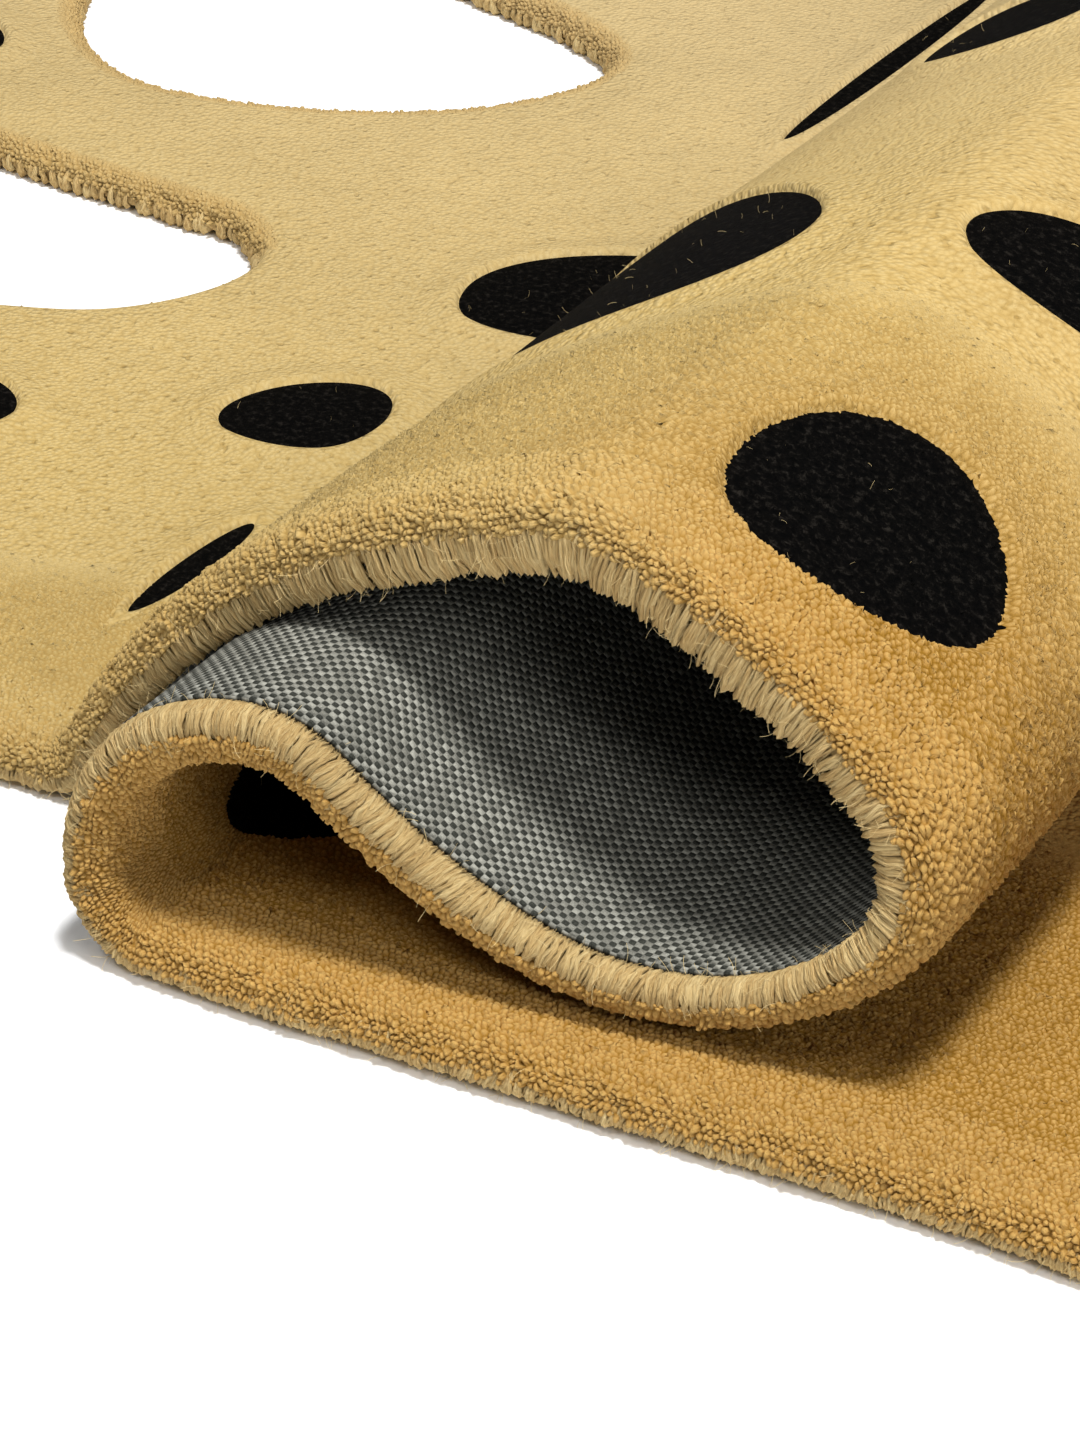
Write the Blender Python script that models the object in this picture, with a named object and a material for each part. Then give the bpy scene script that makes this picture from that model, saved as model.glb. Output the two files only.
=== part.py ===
"""Cat-shaped rug lying on a floor, turned over in one S fold across its body.

The rug is cut and joined flat, in millimetres: u runs along its back from the tail to the
head, v across it from the near side to the far side, and w up from the underside of the
canvas. fold_point then carries each flat point into the folded rug, where x is across the
fold, y along it and z up.
"""
import math

import bmesh
import bpy
from mathutils import Vector

MM = 0.001

# The rug's layers, from the floor up
CANVAS_THICK = 1.2
LAYER_GAP = 0.3
PILE_THICK = 12.3
RUG_THICK = CANVAS_THICK + LAYER_GAP + PILE_THICK

# The canvas stops this far short of the pile's cut edge
CANVAS_INSET = 7.0

# The back lies along this v, and the head and forelegs are the same on both sides of it
SPINE_V = 410.0

# The underside's course through the fold, as arcs that follow one another from the tail's
# side: each one's length and how far it turns upwards. The last arc, the toe, is worked out,
# because it has to lie down on the floor.
FOLD_ARCS = (
    # name, length, turn in degrees
    ("heel", 20.0, 61.0),
    ("ramp", 105.0, -33.0),
    ("brow", 59.0, -8.0),
    ("crest", 17.0, -30.0),
    ("shoulder", 72.0, -28.0),
    ("curl", 34.0, -95.0),
    ("belly", 81.0, -73.0),
    ("climb", 51.0, -19.0),
    ("knee", 25.0, 47.0),
    ("loop", 77.0, 92.0),
)

# The mesh has a cross line at least this often round a bend, and along a straight
TURN_STEP = 8.0
CROSS_STEP = 12.0
FLAT_STEP = 90.0
LONG_STEP = 70.0

# The arch is not quite even along the fold: its crest stands this much higher or lower
CREST_LIFT = (
    # place, v, lift
    ("front edge", 0.0, 1.0),
    ("first swell", 65.0, 4.0),
    ("first dip", 175.0, 1.0),
    ("second swell", 265.0, 3.5),
    ("second dip", 400.0, 0.0),
    ("far side", 780.0, 5.0),
)
ARCH_U = (10.0, 290.0)

# Half of the outline in front of the hind legs, from the near flank to the nose
FRONT_HALF = (
    # place, u, v
    ("flank", 0.0, 50.0),
    ("loin", 90.0, 48.0),
    ("loin", 180.0, 43.0),
    ("rib", 290.0, 29.0),
    ("rib", 400.0, 14.0),
    ("belly", 500.0, 3.0),
    ("belly", 590.0, -2.5),
    ("chest", 690.0, 1.5),
    ("elbow", 800.0, 5.0),
    ("forearm", 900.0, -10.0),
    ("wrist", 990.0, -42.0),
    ("forepaw", 1065.0, -62.0),
    ("forepaw", 1128.0, -32.0),
    ("forepaw", 1122.0, 34.0),
    ("wrist", 1058.0, 72.0),
    ("armpit", 1010.0, 118.0),
    ("shoulder", 1002.0, 190.0),
    ("neck", 1028.0, 258.0),
    ("ear", 1062.0, 262.0),
    ("ear", 1082.0, 222.0),
    ("ear", 1122.0, 216.0),
    ("ear", 1154.0, 258.0),
    ("cheek", 1215.0, 272.0),
    ("cheek", 1272.0, 318.0),
    ("muzzle", 1302.0, 366.0),
)
NOSE_U = 1312.0

# The rest of it, from the far flank round the hind legs and the tail to the near flank
HIND_PART = (
    ("far thigh", -100.0, 778.0),
    ("far shank", -200.0, 784.0),
    ("far shank", -300.0, 770.0),
    ("far paw", -374.0, 742.0),
    ("far paw", -402.0, 690.0),
    ("far paw", -370.0, 636.0),
    ("far shank", -300.0, 602.0),
    ("far shank", -240.0, 575.0),
    ("far notch", -181.0, 550.0),
    ("far notch", -135.0, 534.0),
    ("far notch", -103.0, 512.0),
    ("far notch", -99.0, 485.0),
    ("far notch", -120.0, 450.0),
    ("tail root", -153.0, 428.0),
    ("tail", -191.0, 416.0),
    ("tail", -227.0, 415.0),
    ("tail", -260.0, 433.0),
    ("tail", -288.0, 465.0),
    ("tail", -306.0, 505.0),
    ("tail tip", -316.0, 548.0),
    ("tail tip", -352.0, 572.0),
    ("tail tip", -388.0, 548.0),
    ("tail", -382.0, 488.0),
    ("tail", -358.0, 430.0),
    ("tail", -318.0, 384.0),
    ("tail", -272.0, 357.0),
    ("tail", -236.0, 349.0),
    ("tail", -193.0, 344.0),
    ("tail root", -160.0, 341.0),
    ("near notch", -136.0, 337.0),
    ("near notch", -117.0, 318.0),
    ("near notch", -117.0, 294.0),
    ("near notch", -134.0, 268.0),
    ("near notch", -163.0, 254.0),
    ("near shank", -230.0, 230.0),
    ("near shank", -300.0, 206.0),
    ("near paw", -370.0, 180.0),
    ("near paw", -402.0, 128.0),
    ("near paw", -374.0, 76.0),
    ("near shank", -300.0, 48.0),
    ("near shank", -200.0, 36.0),
    ("near thigh", -100.0, 42.0),
)
OUTLINE_STEP = 16.0

# Colour as seen in plain light, and how dull the surface is
PILE_COLOUR = "#d2ae6c"
CANVAS_COLOUR = "#6f716d"
PILE_ROUGHNESS = 0.95
CANVAS_ROUGHNESS = 0.85


def turned_arc(start, heading, length, turn):
    """Point and heading after an arc that starts at a point and turns upwards."""
    radius = length / turn
    x = start[0] + radius * (math.sin(heading + turn) - math.sin(heading))
    z = start[1] - radius * (math.cos(heading + turn) - math.cos(heading))
    return (x, z), heading + turn


def fold_stations():
    """Rows of u, x, z and heading along the underside, close together round the bends."""
    point = (0.0, 0.0)
    heading = 0.0
    u = 0.0
    rows = [(u, point[0], point[1], heading)]
    arcs = [(length, math.radians(turn)) for _, length, turn in FOLD_ARCS]
    while arcs:
        length, turn = arcs.pop(0)
        steps = max(
            math.ceil(abs(turn) / math.radians(TURN_STEP)),
            math.ceil(length / CROSS_STEP),
        )
        for _ in range(steps):
            point, heading = turned_arc(point, heading, length / steps, turn / steps)
            u += length / steps
            rows.append((u, point[0], point[1], heading))
        if not arcs and heading < -1e-6:
            toe_radius = point[1] / (1.0 - math.cos(heading))
            arcs.append((-heading * toe_radius, -heading))
    rows[-1] = (rows[-1][0], rows[-1][1], 0.0, 0.0)
    return rows


def smooth_step(t):
    """Rise from 0 to 1 with level ends."""
    t = min(max(t, 0.0), 1.0)
    return t * t * (3.0 - 2.0 * t)


def crest_lift(u, v):
    """Extra height of the arch at a flat point."""
    middle = 0.5 * (ARCH_U[0] + ARCH_U[1])
    half = 0.5 * (ARCH_U[1] - ARCH_U[0])
    share = smooth_step(1.0 - abs(u - middle) / half)
    places = [(place_v, lift) for _, place_v, lift in CREST_LIFT]
    if v <= places[0][0]:
        return share * places[0][1]
    for (v_a, lift_a), (v_b, lift_b) in zip(places, places[1:]):
        if v <= v_b:
            return share * (lift_a + (lift_b - lift_a) * smooth_step((v - v_a) / (v_b - v_a)))
    return share * places[-1][1]


def fold_point(stations, u, v, w):
    """Place in the folded rug of a flat point, with the pile's side as positive w."""
    first = stations[0]
    last = stations[-1]
    if u <= first[0]:
        return Vector((first[1] + u - first[0], v, w))
    if u >= last[0]:
        return Vector((last[1] + u - last[0], v, w))
    for a, b in zip(stations, stations[1:]):
        if u <= b[0]:
            break
    t = (u - a[0]) / (b[0] - a[0])
    ends = [
        (x - w * math.sin(heading), z + w * math.cos(heading)) for _, x, z, heading in (a, b)
    ]
    x = ends[0][0] + t * (ends[1][0] - ends[0][0])
    z = ends[0][1] + t * (ends[1][1] - ends[0][1])
    return Vector((x, v, z + crest_lift(u, v)))


def closed_curve(points, step):
    """Smooth closed curve through the points, as a polyline with about this step."""
    curve = []
    count = len(points)
    for i in range(count):
        before, start, end, after = (Vector(points[(i + k) % count]) for k in (-1, 0, 1, 2))
        span = (end - start).length
        leave = (end - before) * (span / ((start - before).length + span))
        arrive = (after - start) * (span / (span + (after - end).length))
        steps = max(2, round(span / step))
        for k in range(steps):
            t = k / steps
            curve.append(
                start * (2 * t ** 3 - 3 * t ** 2 + 1)
                + leave * (t ** 3 - 2 * t ** 2 + t)
                + end * (3 * t ** 2 - 2 * t ** 3)
                + arrive * (t ** 3 - t ** 2)
            )
    return curve


def inset_curve(curve, inset):
    """The closed curve moved inwards; it runs with its inside on the left."""
    moved = []
    count = len(curve)
    for i in range(count):
        along = (curve[(i + 1) % count] - curve[i - 1]).normalized()
        moved.append(curve[i] + Vector((-along.y, along.x)) * inset)
    return moved


def rug_outline():
    """The whole outline, laid flat."""
    near = [(u, v) for _, u, v in FRONT_HALF]
    far = [(u, 2 * SPINE_V - v) for u, v in reversed(near)]
    hind = [(u, v) for _, u, v in HIND_PART]
    return closed_curve(near + [(NOSE_U, SPINE_V)] + far + hind, OUTLINE_STEP)


def spaced(start, end, step):
    """Evenly spaced values from start to end, ends left out."""
    count = max(1, math.ceil((end - start) / step))
    return [start + (end - start) * k / count for k in range(1, count)]


def folded_layer(name, outline, stations, w_low, w_high):
    """One closed layer of the rug, cut flat to an outline and then folded."""
    flat = bmesh.new()
    flat.faces.new([flat.verts.new((p.x, p.y, 0.0)) for p in outline])
    u_min = min(p.x for p in outline)
    u_max = max(p.x for p in outline)
    v_min = min(p.y for p in outline)
    v_max = max(p.y for p in outline)
    fold_lines = [row[0] for row in stations]
    cross_lines = (
        spaced(u_min, fold_lines[0], FLAT_STEP)
        + fold_lines
        + spaced(fold_lines[-1], u_max, FLAT_STEP)
    )
    cuts = [((u, 0.0, 0.0), (1.0, 0.0, 0.0)) for u in cross_lines]
    cuts += [((0.0, v, 0.0), (0.0, 1.0, 0.0)) for v in spaced(v_min, v_max, LONG_STEP)]
    for place, normal in cuts:
        bmesh.ops.bisect_plane(
            flat,
            geom=flat.verts[:] + flat.edges[:] + flat.faces[:],
            dist=0.2,
            plane_co=place,
            plane_no=normal,
        )
    flat.normal_update()

    solid = bmesh.new()
    flat.verts.index_update()
    low = [solid.verts.new(fold_point(stations, p.co.x, p.co.y, w_low) * MM) for p in flat.verts]
    high = [solid.verts.new(fold_point(stations, p.co.x, p.co.y, w_high) * MM) for p in flat.verts]
    for face in flat.faces:
        corners = [p.index for p in face.verts]
        if face.normal.z < 0.0:
            corners.reverse()
        solid.faces.new([high[i] for i in corners])
        solid.faces.new([low[i] for i in reversed(corners)])
    for edge in flat.edges:
        if len(edge.link_faces) != 1:
            continue
        loop = edge.link_loops[0]
        a = loop.vert.index
        b = loop.link_loop_next.vert.index
        if edge.link_faces[0].normal.z < 0.0:
            a, b = b, a
        solid.faces.new((low[a], low[b], high[b], high[a]))
    flat.free()
    bmesh.ops.triangulate(solid, faces=solid.faces[:])

    mesh = bpy.data.meshes.new(name)
    solid.to_mesh(mesh)
    solid.free()
    part = bpy.data.objects.new(name, mesh)
    bpy.context.scene.collection.objects.link(part)
    return part


def colour_of(code):
    """Linear colour of an sRGB hex code."""
    levels = [int(code[i:i + 2], 16) / 255.0 for i in (1, 3, 5)]
    return [c / 12.92 if c <= 0.04045 else ((c + 0.055) / 1.055) ** 2.4 for c in levels] + [1.0]


def plain_material(name, code, roughness):
    """A dull, non-metal surface."""
    material = bpy.data.materials.new(name)
    material.use_nodes = True
    surface = material.node_tree.nodes["Principled BSDF"]
    surface.inputs["Base Color"].default_value = colour_of(code)
    surface.inputs["Roughness"].default_value = roughness
    surface.inputs["Metallic"].default_value = 0.0
    material.diffuse_color = colour_of(code)
    return material


def centre_on_floor(parts):
    """Move the meshes so that the middle of their box's bottom is the origin."""
    points = [vertex.co for part in parts for vertex in part.data.vertices]
    low = [min(p[k] for p in points) for k in range(3)]
    high = [max(p[k] for p in points) for k in range(3)]
    shift = Vector((-0.5 * (low[0] + high[0]), -0.5 * (low[1] + high[1]), -low[2]))
    for part in parts:
        for vertex in part.data.vertices:
            vertex.co += shift


def main():
    for old in list(bpy.data.objects):
        bpy.data.objects.remove(old, do_unlink=True)

    stations = fold_stations()
    outline = rug_outline()

    # Cut-pile wool, one piece with the cloth it is tufted through
    pile = folded_layer("pile", outline, stations, CANVAS_THICK + LAYER_GAP, RUG_THICK)
    pile.data.materials.append(plain_material("tan_wool", PILE_COLOUR, PILE_ROUGHNESS))

    # Grey woven canvas on the back, cut a little smaller than the pile
    canvas = folded_layer(
        "canvas", inset_curve(outline, CANVAS_INSET), stations, 0.0, CANVAS_THICK
    )
    canvas.data.materials.append(plain_material("grey_canvas", CANVAS_COLOUR, CANVAS_ROUGHNESS))

    centre_on_floor([pile, canvas])


main()
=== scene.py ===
import math

import bmesh
import bpy
import numpy as np
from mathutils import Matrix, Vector, kdtree


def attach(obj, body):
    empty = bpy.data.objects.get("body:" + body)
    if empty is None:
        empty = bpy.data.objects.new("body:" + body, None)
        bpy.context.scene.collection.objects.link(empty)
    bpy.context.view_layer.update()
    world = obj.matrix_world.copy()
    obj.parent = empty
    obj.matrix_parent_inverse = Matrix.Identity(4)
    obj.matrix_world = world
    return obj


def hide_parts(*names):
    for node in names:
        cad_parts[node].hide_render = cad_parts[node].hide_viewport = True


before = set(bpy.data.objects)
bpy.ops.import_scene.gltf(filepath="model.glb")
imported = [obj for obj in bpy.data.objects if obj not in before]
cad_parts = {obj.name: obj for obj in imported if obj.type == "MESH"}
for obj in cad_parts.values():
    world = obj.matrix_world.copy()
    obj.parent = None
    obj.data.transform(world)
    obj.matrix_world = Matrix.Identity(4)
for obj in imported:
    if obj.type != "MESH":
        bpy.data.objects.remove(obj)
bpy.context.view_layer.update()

MM = 0.001
SEED = 7

# The camera: where it stands from the point of the near edge where the loop meets the floor,
# how far it looks down, how far it is turned to the left, and its lens on a 36 mm wide film
CAMERA_FROM_NEAR_POINT = (411.4, -597.0, 515.0)
CAMERA_PITCH = 31.0
CAMERA_TURN = 30.4
CAMERA_LENS = 100.7
NEAR_POINT_U = 617.6

# Layers, from the floor up
CANVAS_THICK = 1.2
PILE_LOW = 1.5
PILE_TOP = 13.2
CANVAS_INSET = 7.0

SPINE_V = 410.0

# The near and the far side begin this far from the spine
SPINE_HALF = 150.0

# The underside's course through the fold, from the tail's side to the head's
FOLD_ARCS = (
    # name, length, turn in degrees
    ("heel", 20.0, 61.0),
    ("ramp", 105.0, -33.0),
    ("brow", 59.0, -8.0),
    ("crest", 17.0, -30.0),
    ("shoulder", 72.0, -28.0),
    ("curl", 34.0, -95.0),
    ("belly", 81.0, -73.0),
    ("climb", 51.0, -19.0),
    ("knee", 25.0, 47.0),
    ("loop", 77.0, 92.0),
)
TURN_STEP = 3.0
CROSS_STEP = 4.0
FLAT_STEP = 60.0
LONG_STEP = 28.0

# The arch is not quite even along the fold
CREST_LIFT = (
    # place, v, lift
    ("front edge", 0, 1),
    ("first swell", 65, 4),
    ("first dip", 175, 1),
    ("second swell", 265, 3.5),
    ("second dip", 400, 0),
    ("far side", 780, 5),
)
ARCH_U = (10.0, 290.0)

FRONT_HALF = (
    # place, and its points u, v
    ("flank", (0, 50)),
    ("loin", (90, 48), (180, 43)),
    ("rib", (290, 29), (400, 14)),
    ("belly", (500, 3), (590, -2.5)),
    ("chest", (690, 1.5)),
    ("elbow", (800, 5)),
    ("forearm", (900, -10)),
    ("wrist", (990, -42)),
    ("forepaw", (1065, -62), (1128, -32), (1122, 34)),
    ("wrist", (1058, 72)),
    ("armpit", (1010, 118)),
    ("shoulder", (1002, 190)),
    ("neck", (1028, 258)),
    ("ear", (1062, 262), (1082, 222), (1122, 216), (1154, 258)),
    ("cheek", (1215, 272), (1272, 318)),
    ("muzzle", (1302, 366)),
)
NOSE_U = 1312

HIND_PART = (
    ("far thigh", (-100, 778)),
    ("far shank", (-200, 784), (-300, 770)),
    ("far paw", (-374, 742), (-402, 690), (-370, 636)),
    ("far shank", (-300, 602), (-240, 575)),
    ("far notch", (-181, 550), (-135, 534), (-103, 512), (-99, 485), (-120, 450)),
    ("tail root", (-153, 428)),
    ("tail", (-191, 416), (-227, 415), (-260, 433), (-288, 465), (-306, 505)),
    ("tail tip", (-316, 548), (-352, 572), (-388, 548)),
    ("tail", (-382, 488), (-358, 430), (-318, 384), (-272, 357), (-236, 349), (-193, 344)),
    ("tail root", (-160, 341)),
    ("near notch", (-136, 337), (-117, 318), (-117, 294), (-134, 268), (-163, 254)),
    ("near shank", (-230, 230), (-300, 206)),
    ("near paw", (-370, 180), (-402, 128), (-374, 76)),
    ("near shank", (-300, 48), (-200, 36)),
    ("near thigh", (-100, 42)),
)
OUTLINE_STEP = 3.0

# Black spots, egg-shaped: the middle, half the length and width, how far the length is turned
# from u, how much wider one end is, and the roundness, where 2 is an ellipse
SPOTS = (
    # place, u, v, half length, half width, turn, widening, roundness
    ("hip", -41, 233, 19.7, 23.1, -41, -0.23, 1.9),
    ("loin", 2, 345, 31, 52, 114, -0.08, 2.3),
    ("back", 82, 227, 82, 47.8, -14, -0.06, 2),
    ("flank", -19.5, 145, 3.4, 27, 0, 0, 2),
    ("rib", 234.6, 94.6, 32.8, 29.4, 107, -0.20, 2.2),
    ("rib", 240, 221, 40, 21.5, 3, 0, 2.2),
    ("back", 127, 408, 33, 25.5, -38, 0.12, 1.9),
    ("loin", -17, 551, 3.6, 78, 0, 0, 2.1),
    ("belly", 566, 78, 34, 33, 0, 0, 2.2),
    ("thigh", -142, 190, 28, 18, 0, 0, 2.1),
    ("shoulder", 770, 330, 42, 30, 20, 0.1, 2.1),
    ("shoulder", 845, 560, 40, 32, 35, -0.1, 2),
    ("back", 720, 480, 48, 28, -10, 0.1, 2.1),
    ("rib", 735, 680, 36, 26, -25, 0, 2.1),
    ("flank", 75, 705, 40, 30, 15, 0.1, 2),
    ("back", 190, 620, 46, 28, -15, -0.1, 2.1),
    ("rib", 245, 760, 30, 24, 70, 0.1, 2),
    ("loin", -60, 700, 30, 36, 0, 0.1, 2.1),
    ("far thigh", -215, 690, 28, 20, 10, 0, 2.1),
    ("near shank", -270, 130, 30, 20, -10, 0.1, 2),
    ("tail", -300, 412, 20, 14, -35, 0, 2),
    ("tail tip", -352, 515, 18, 14, 80, 0, 2),
    ("forearm", 950, 60, 34, 22, -20, 0.1, 2),
    ("far forearm", 950, 765, 34, 22, 20, -0.1, 2),
    ("neck", 945, 410, 24, 50, 0, 0, 2.1),
    ("brow", 1100, 350, 26, 15, 25, 0.1, 2),
    ("brow", 1100, 470, 26, 15, -25, 0.1, 2),
)

# The cut edge is rounded: the outermost tufts lean out over this radius
EDGE_RADIUS = 8.0

# How much longer the way along the rounded edge is than straight in under it
EDGE_ROLL = (0.5 * math.pi - 1.0) * EDGE_RADIUS

# Tufts: the distance between two, how far crowns stand over the ground, how deep the gaps
# between them go, how many gaps are pits, how wide the pile's clumps are, how many waves make
# them and how high, and how far tufts stand and lean out of line
TUFT_PITCH = 1.6
CROWN = 0.7
GAP_DEPTH = 0.6
PIT_SHARE = 0.14
CLUMP_SIZE = 6.0
CLUMP_WAVES = 7
CLUMP_HEIGHT = 1.6
TUFT_JITTER = 0.28
TUFT_LEAN = 0.25

# The honeycomb of tufts starts at this v
LATTICE_START = -12.0

# How deep crowns and gaps sink under the ground pile where the tufted zone ends
CROWN_SUNK = 1.2
GAP_SUNK = 1.3

# Tufts stand evener this near to a spot's rim
RIM_REACH = 3.0

# The ground pile under the tufts is rounded over this radius, and so tops out lower
BODY_ARC = 6.9
BODY_TOP = PILE_TOP - EDGE_RADIUS + BODY_ARC


def smooth_step(t):
    """Rise from 0 to 1 with level ends."""
    t = np.clip(t, 0.0, 1.0)
    return t * t * (3.0 - 2.0 * t)


def fold_stations():
    """Rows of u, x, z and heading along the underside, close together round the bends."""
    x = z = heading = u = 0.0
    rows = [(u, x, z, heading)]
    arcs = [(length, math.radians(turn)) for _, length, turn in FOLD_ARCS]
    while arcs:
        length, turn = arcs.pop(0)
        steps = max(math.ceil(abs(turn) / math.radians(TURN_STEP)), math.ceil(length / CROSS_STEP))
        radius = length / turn
        for _ in range(steps):
            x += radius * (math.sin(heading + turn / steps) - math.sin(heading))
            z -= radius * (math.cos(heading + turn / steps) - math.cos(heading))
            heading += turn / steps
            u += length / steps
            rows.append((u, x, z, heading))
        if not arcs and heading < -1e-6:
            toe_radius = z / (1.0 - math.cos(heading))
            arcs.append((-heading * toe_radius, -heading))
    rows[-1] = (u, x, 0.0, 0.0)
    return np.array(rows)


STATIONS = fold_stations()


def closed_curve(points, step):
    """Smooth closed curve through the points, as a polyline with about this step."""
    curve = []
    count = len(points)
    for i in range(count):
        before, start, end, after = (Vector(points[(i + k) % count]) for k in (-1, 0, 1, 2))
        span = (end - start).length
        leave = (end - before) * (span / ((start - before).length + span))
        arrive = (after - start) * (span / (span + (after - end).length))
        steps = max(2, round(span / step))
        for k in range(steps):
            t = k / steps
            curve.append(
                start * (2 * t ** 3 - 3 * t ** 2 + 1)
                + leave * (t ** 3 - 2 * t ** 2 + t)
                + end * (3 * t ** 2 - 2 * t ** 3)
                + arrive * (t ** 3 - t ** 2)
            )
    return np.array([tuple(p) for p in curve])


def rug_outline():
    """The whole outline, laid flat."""
    near = [point for _, *points in FRONT_HALF for point in points]
    far = [(u, 2 * SPINE_V - v) for u, v in reversed(near)]
    hind = [point for _, *points in HIND_PART for point in points]
    return closed_curve(near + [(NOSE_U, SPINE_V)] + far + hind, OUTLINE_STEP)


OUTLINE = rug_outline()


def inward_normals(curve):
    """Unit normals of a closed curve that runs with its inside on the left."""
    along = np.roll(curve, -1, axis=0) - np.roll(curve, 1, axis=0)
    along /= np.linalg.norm(along, axis=1)[:, None]
    return np.stack([-along[:, 1], along[:, 0]], axis=1)


def course_x(u):
    """Distance across the fold of a point of the underside."""
    x = np.interp(u, STATIONS[:, 0], STATIONS[:, 1])
    x = np.where(u < 0.0, u, x)
    return np.where(u > STATIONS[-1, 0], STATIONS[-1, 1] + u - STATIONS[-1, 0], x)


# The frame's origin is the middle of the box's bottom
SHIFT_X = -0.5 * float(course_x(OUTLINE[:, 0].min()) + course_x(OUTLINE[:, 0].max()))
SHIFT_Y = -0.5 * float(OUTLINE[:, 1].min() + OUTLINE[:, 1].max())


def crest_lift(u, v):
    """Extra height of the arch at flat points."""
    middle = 0.5 * (ARCH_U[0] + ARCH_U[1])
    half = 0.5 * (ARCH_U[1] - ARCH_U[0])
    share = smooth_step(1.0 - np.abs(u - middle) / half)
    lift = np.full(np.shape(v), CREST_LIFT[0][2])
    for (_, v_a, lift_a), (_, v_b, lift_b) in zip(CREST_LIFT, CREST_LIFT[1:]):
        lift = lift + (lift_b - lift_a) * smooth_step((v - v_a) / (v_b - v_a))
    return share * lift


def fold(flat):
    """Places in the folded rug, in metres, of flat points u, v, w in millimetres."""
    u, v, w = flat[:, 0], flat[:, 1], flat[:, 2]
    heading = np.interp(u, STATIONS[:, 0], STATIONS[:, 3])
    z = np.interp(u, STATIONS[:, 0], STATIONS[:, 2])
    x = course_x(u)
    height = z + w * np.cos(heading) + crest_lift(u, v)
    return MM * np.column_stack([x - w * np.sin(heading) + SHIFT_X, v + SHIFT_Y, height])


class EdgeFinder:
    """Signed distance inwards from the outline, the nearest edge point and the way in."""

    def __init__(self, curve):
        self.curve = curve
        self.normals = inward_normals(curve)
        self.tree = kdtree.KDTree(len(curve))
        for i, p in enumerate(curve):
            self.tree.insert((p[0], p[1], 0.0), i)
        self.tree.balance()

    def __call__(self, points):
        nearest = np.array([self.tree.find((p[0], p[1], 0.0))[1] for p in points])
        count = len(self.curve)
        best = np.full(len(points), np.inf)
        foot = np.zeros((len(points), 2))
        inward = np.zeros((len(points), 2))
        for offset in (-1, 0):
            i = (nearest + offset) % count
            j = (i + 1) % count
            a, b = self.curve[i], self.curve[j]
            t = ((points - a) * (b - a)).sum(1) / ((b - a) ** 2).sum(1)
            t = np.clip(t, 0.0, 1.0)[:, None]
            place = a + t * (b - a)
            gap = np.linalg.norm(points - place, axis=1)
            closer = gap < best
            best[closer] = gap[closer]
            foot[closer] = place[closer]
            way = self.normals[i] + t * (self.normals[j] - self.normals[i])
            inward[closer] = way[closer]
        inward /= np.linalg.norm(inward, axis=1)[:, None]
        side = np.sign(((points - foot) * inward).sum(1))
        return best * side, foot, inward


EDGE = EdgeFinder(OUTLINE)


def spot_distance(points):
    """Distance in millimetres from the nearest spot's rim, negative inside a spot."""
    nearest = np.full(len(points), np.inf)
    for _, u, v, half_length, half_width, turn, widening, roundness in SPOTS:
        c, s = math.cos(math.radians(turn)), math.sin(math.radians(turn))
        du, dv = points[:, 0] - u, points[:, 1] - v
        along = (du * c + dv * s) / half_length
        width = half_width * (1.0 + widening * np.clip(along, -1.0, 1.0))
        across = (dv * c - du * s) / width
        ratio = (np.abs(along) ** roundness + np.abs(across) ** roundness) ** (1.0 / roundness)
        nearest = np.minimum(nearest, (ratio - 1.0) * min(half_length, half_width))
    return nearest


def rounded_edge(points):
    """Carry flat lattice points onto the rug's top and down round its cut edge.

    Gives the points u, v, w, the surface's normals there, and how far in from the edge
    each one lies along the surface.
    """
    depth, foot, inward = EDGE(points)
    run = depth + EDGE_ROLL
    angle = np.minimum(run / EDGE_RADIUS, 0.5 * math.pi)
    on_top = run >= 0.5 * math.pi * EDGE_RADIUS
    reach = np.where(on_top, depth, EDGE_RADIUS * (1.0 - np.cos(angle)))
    flat = np.where(on_top[:, None], points, foot + inward * reach[:, None])
    w = PILE_TOP - EDGE_RADIUS + EDGE_RADIUS * np.sin(angle)
    normal = np.concatenate([-inward * np.cos(angle)[:, None], np.sin(angle)[:, None]], axis=1)
    return np.concatenate([flat, w[:, None]], axis=1), normal, run


def new_piece(name, points, faces, materials, face_materials, uv):
    """A mesh piece from points in metres and lists of corner numbers."""
    mesh = bpy.data.meshes.new(name)
    mesh.from_pydata([tuple(p) for p in points], [], faces)
    for material in materials:
        mesh.materials.append(material)
    if face_materials is not None:
        mesh.polygons.foreach_set("material_index", face_materials)
    mesh.polygons.foreach_set("use_smooth", [True] * len(mesh.polygons))
    layer = mesh.uv_layers.new(name="flat")
    corners = np.empty(len(mesh.loops), dtype=np.int32)
    mesh.loops.foreach_get("vertex_index", corners)
    layer.data.foreach_set("uv", uv[corners].astype(np.float32).ravel())
    mesh.validate()
    piece = bpy.data.objects.new(name, mesh)
    bpy.context.scene.collection.objects.link(piece)
    return piece


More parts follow.
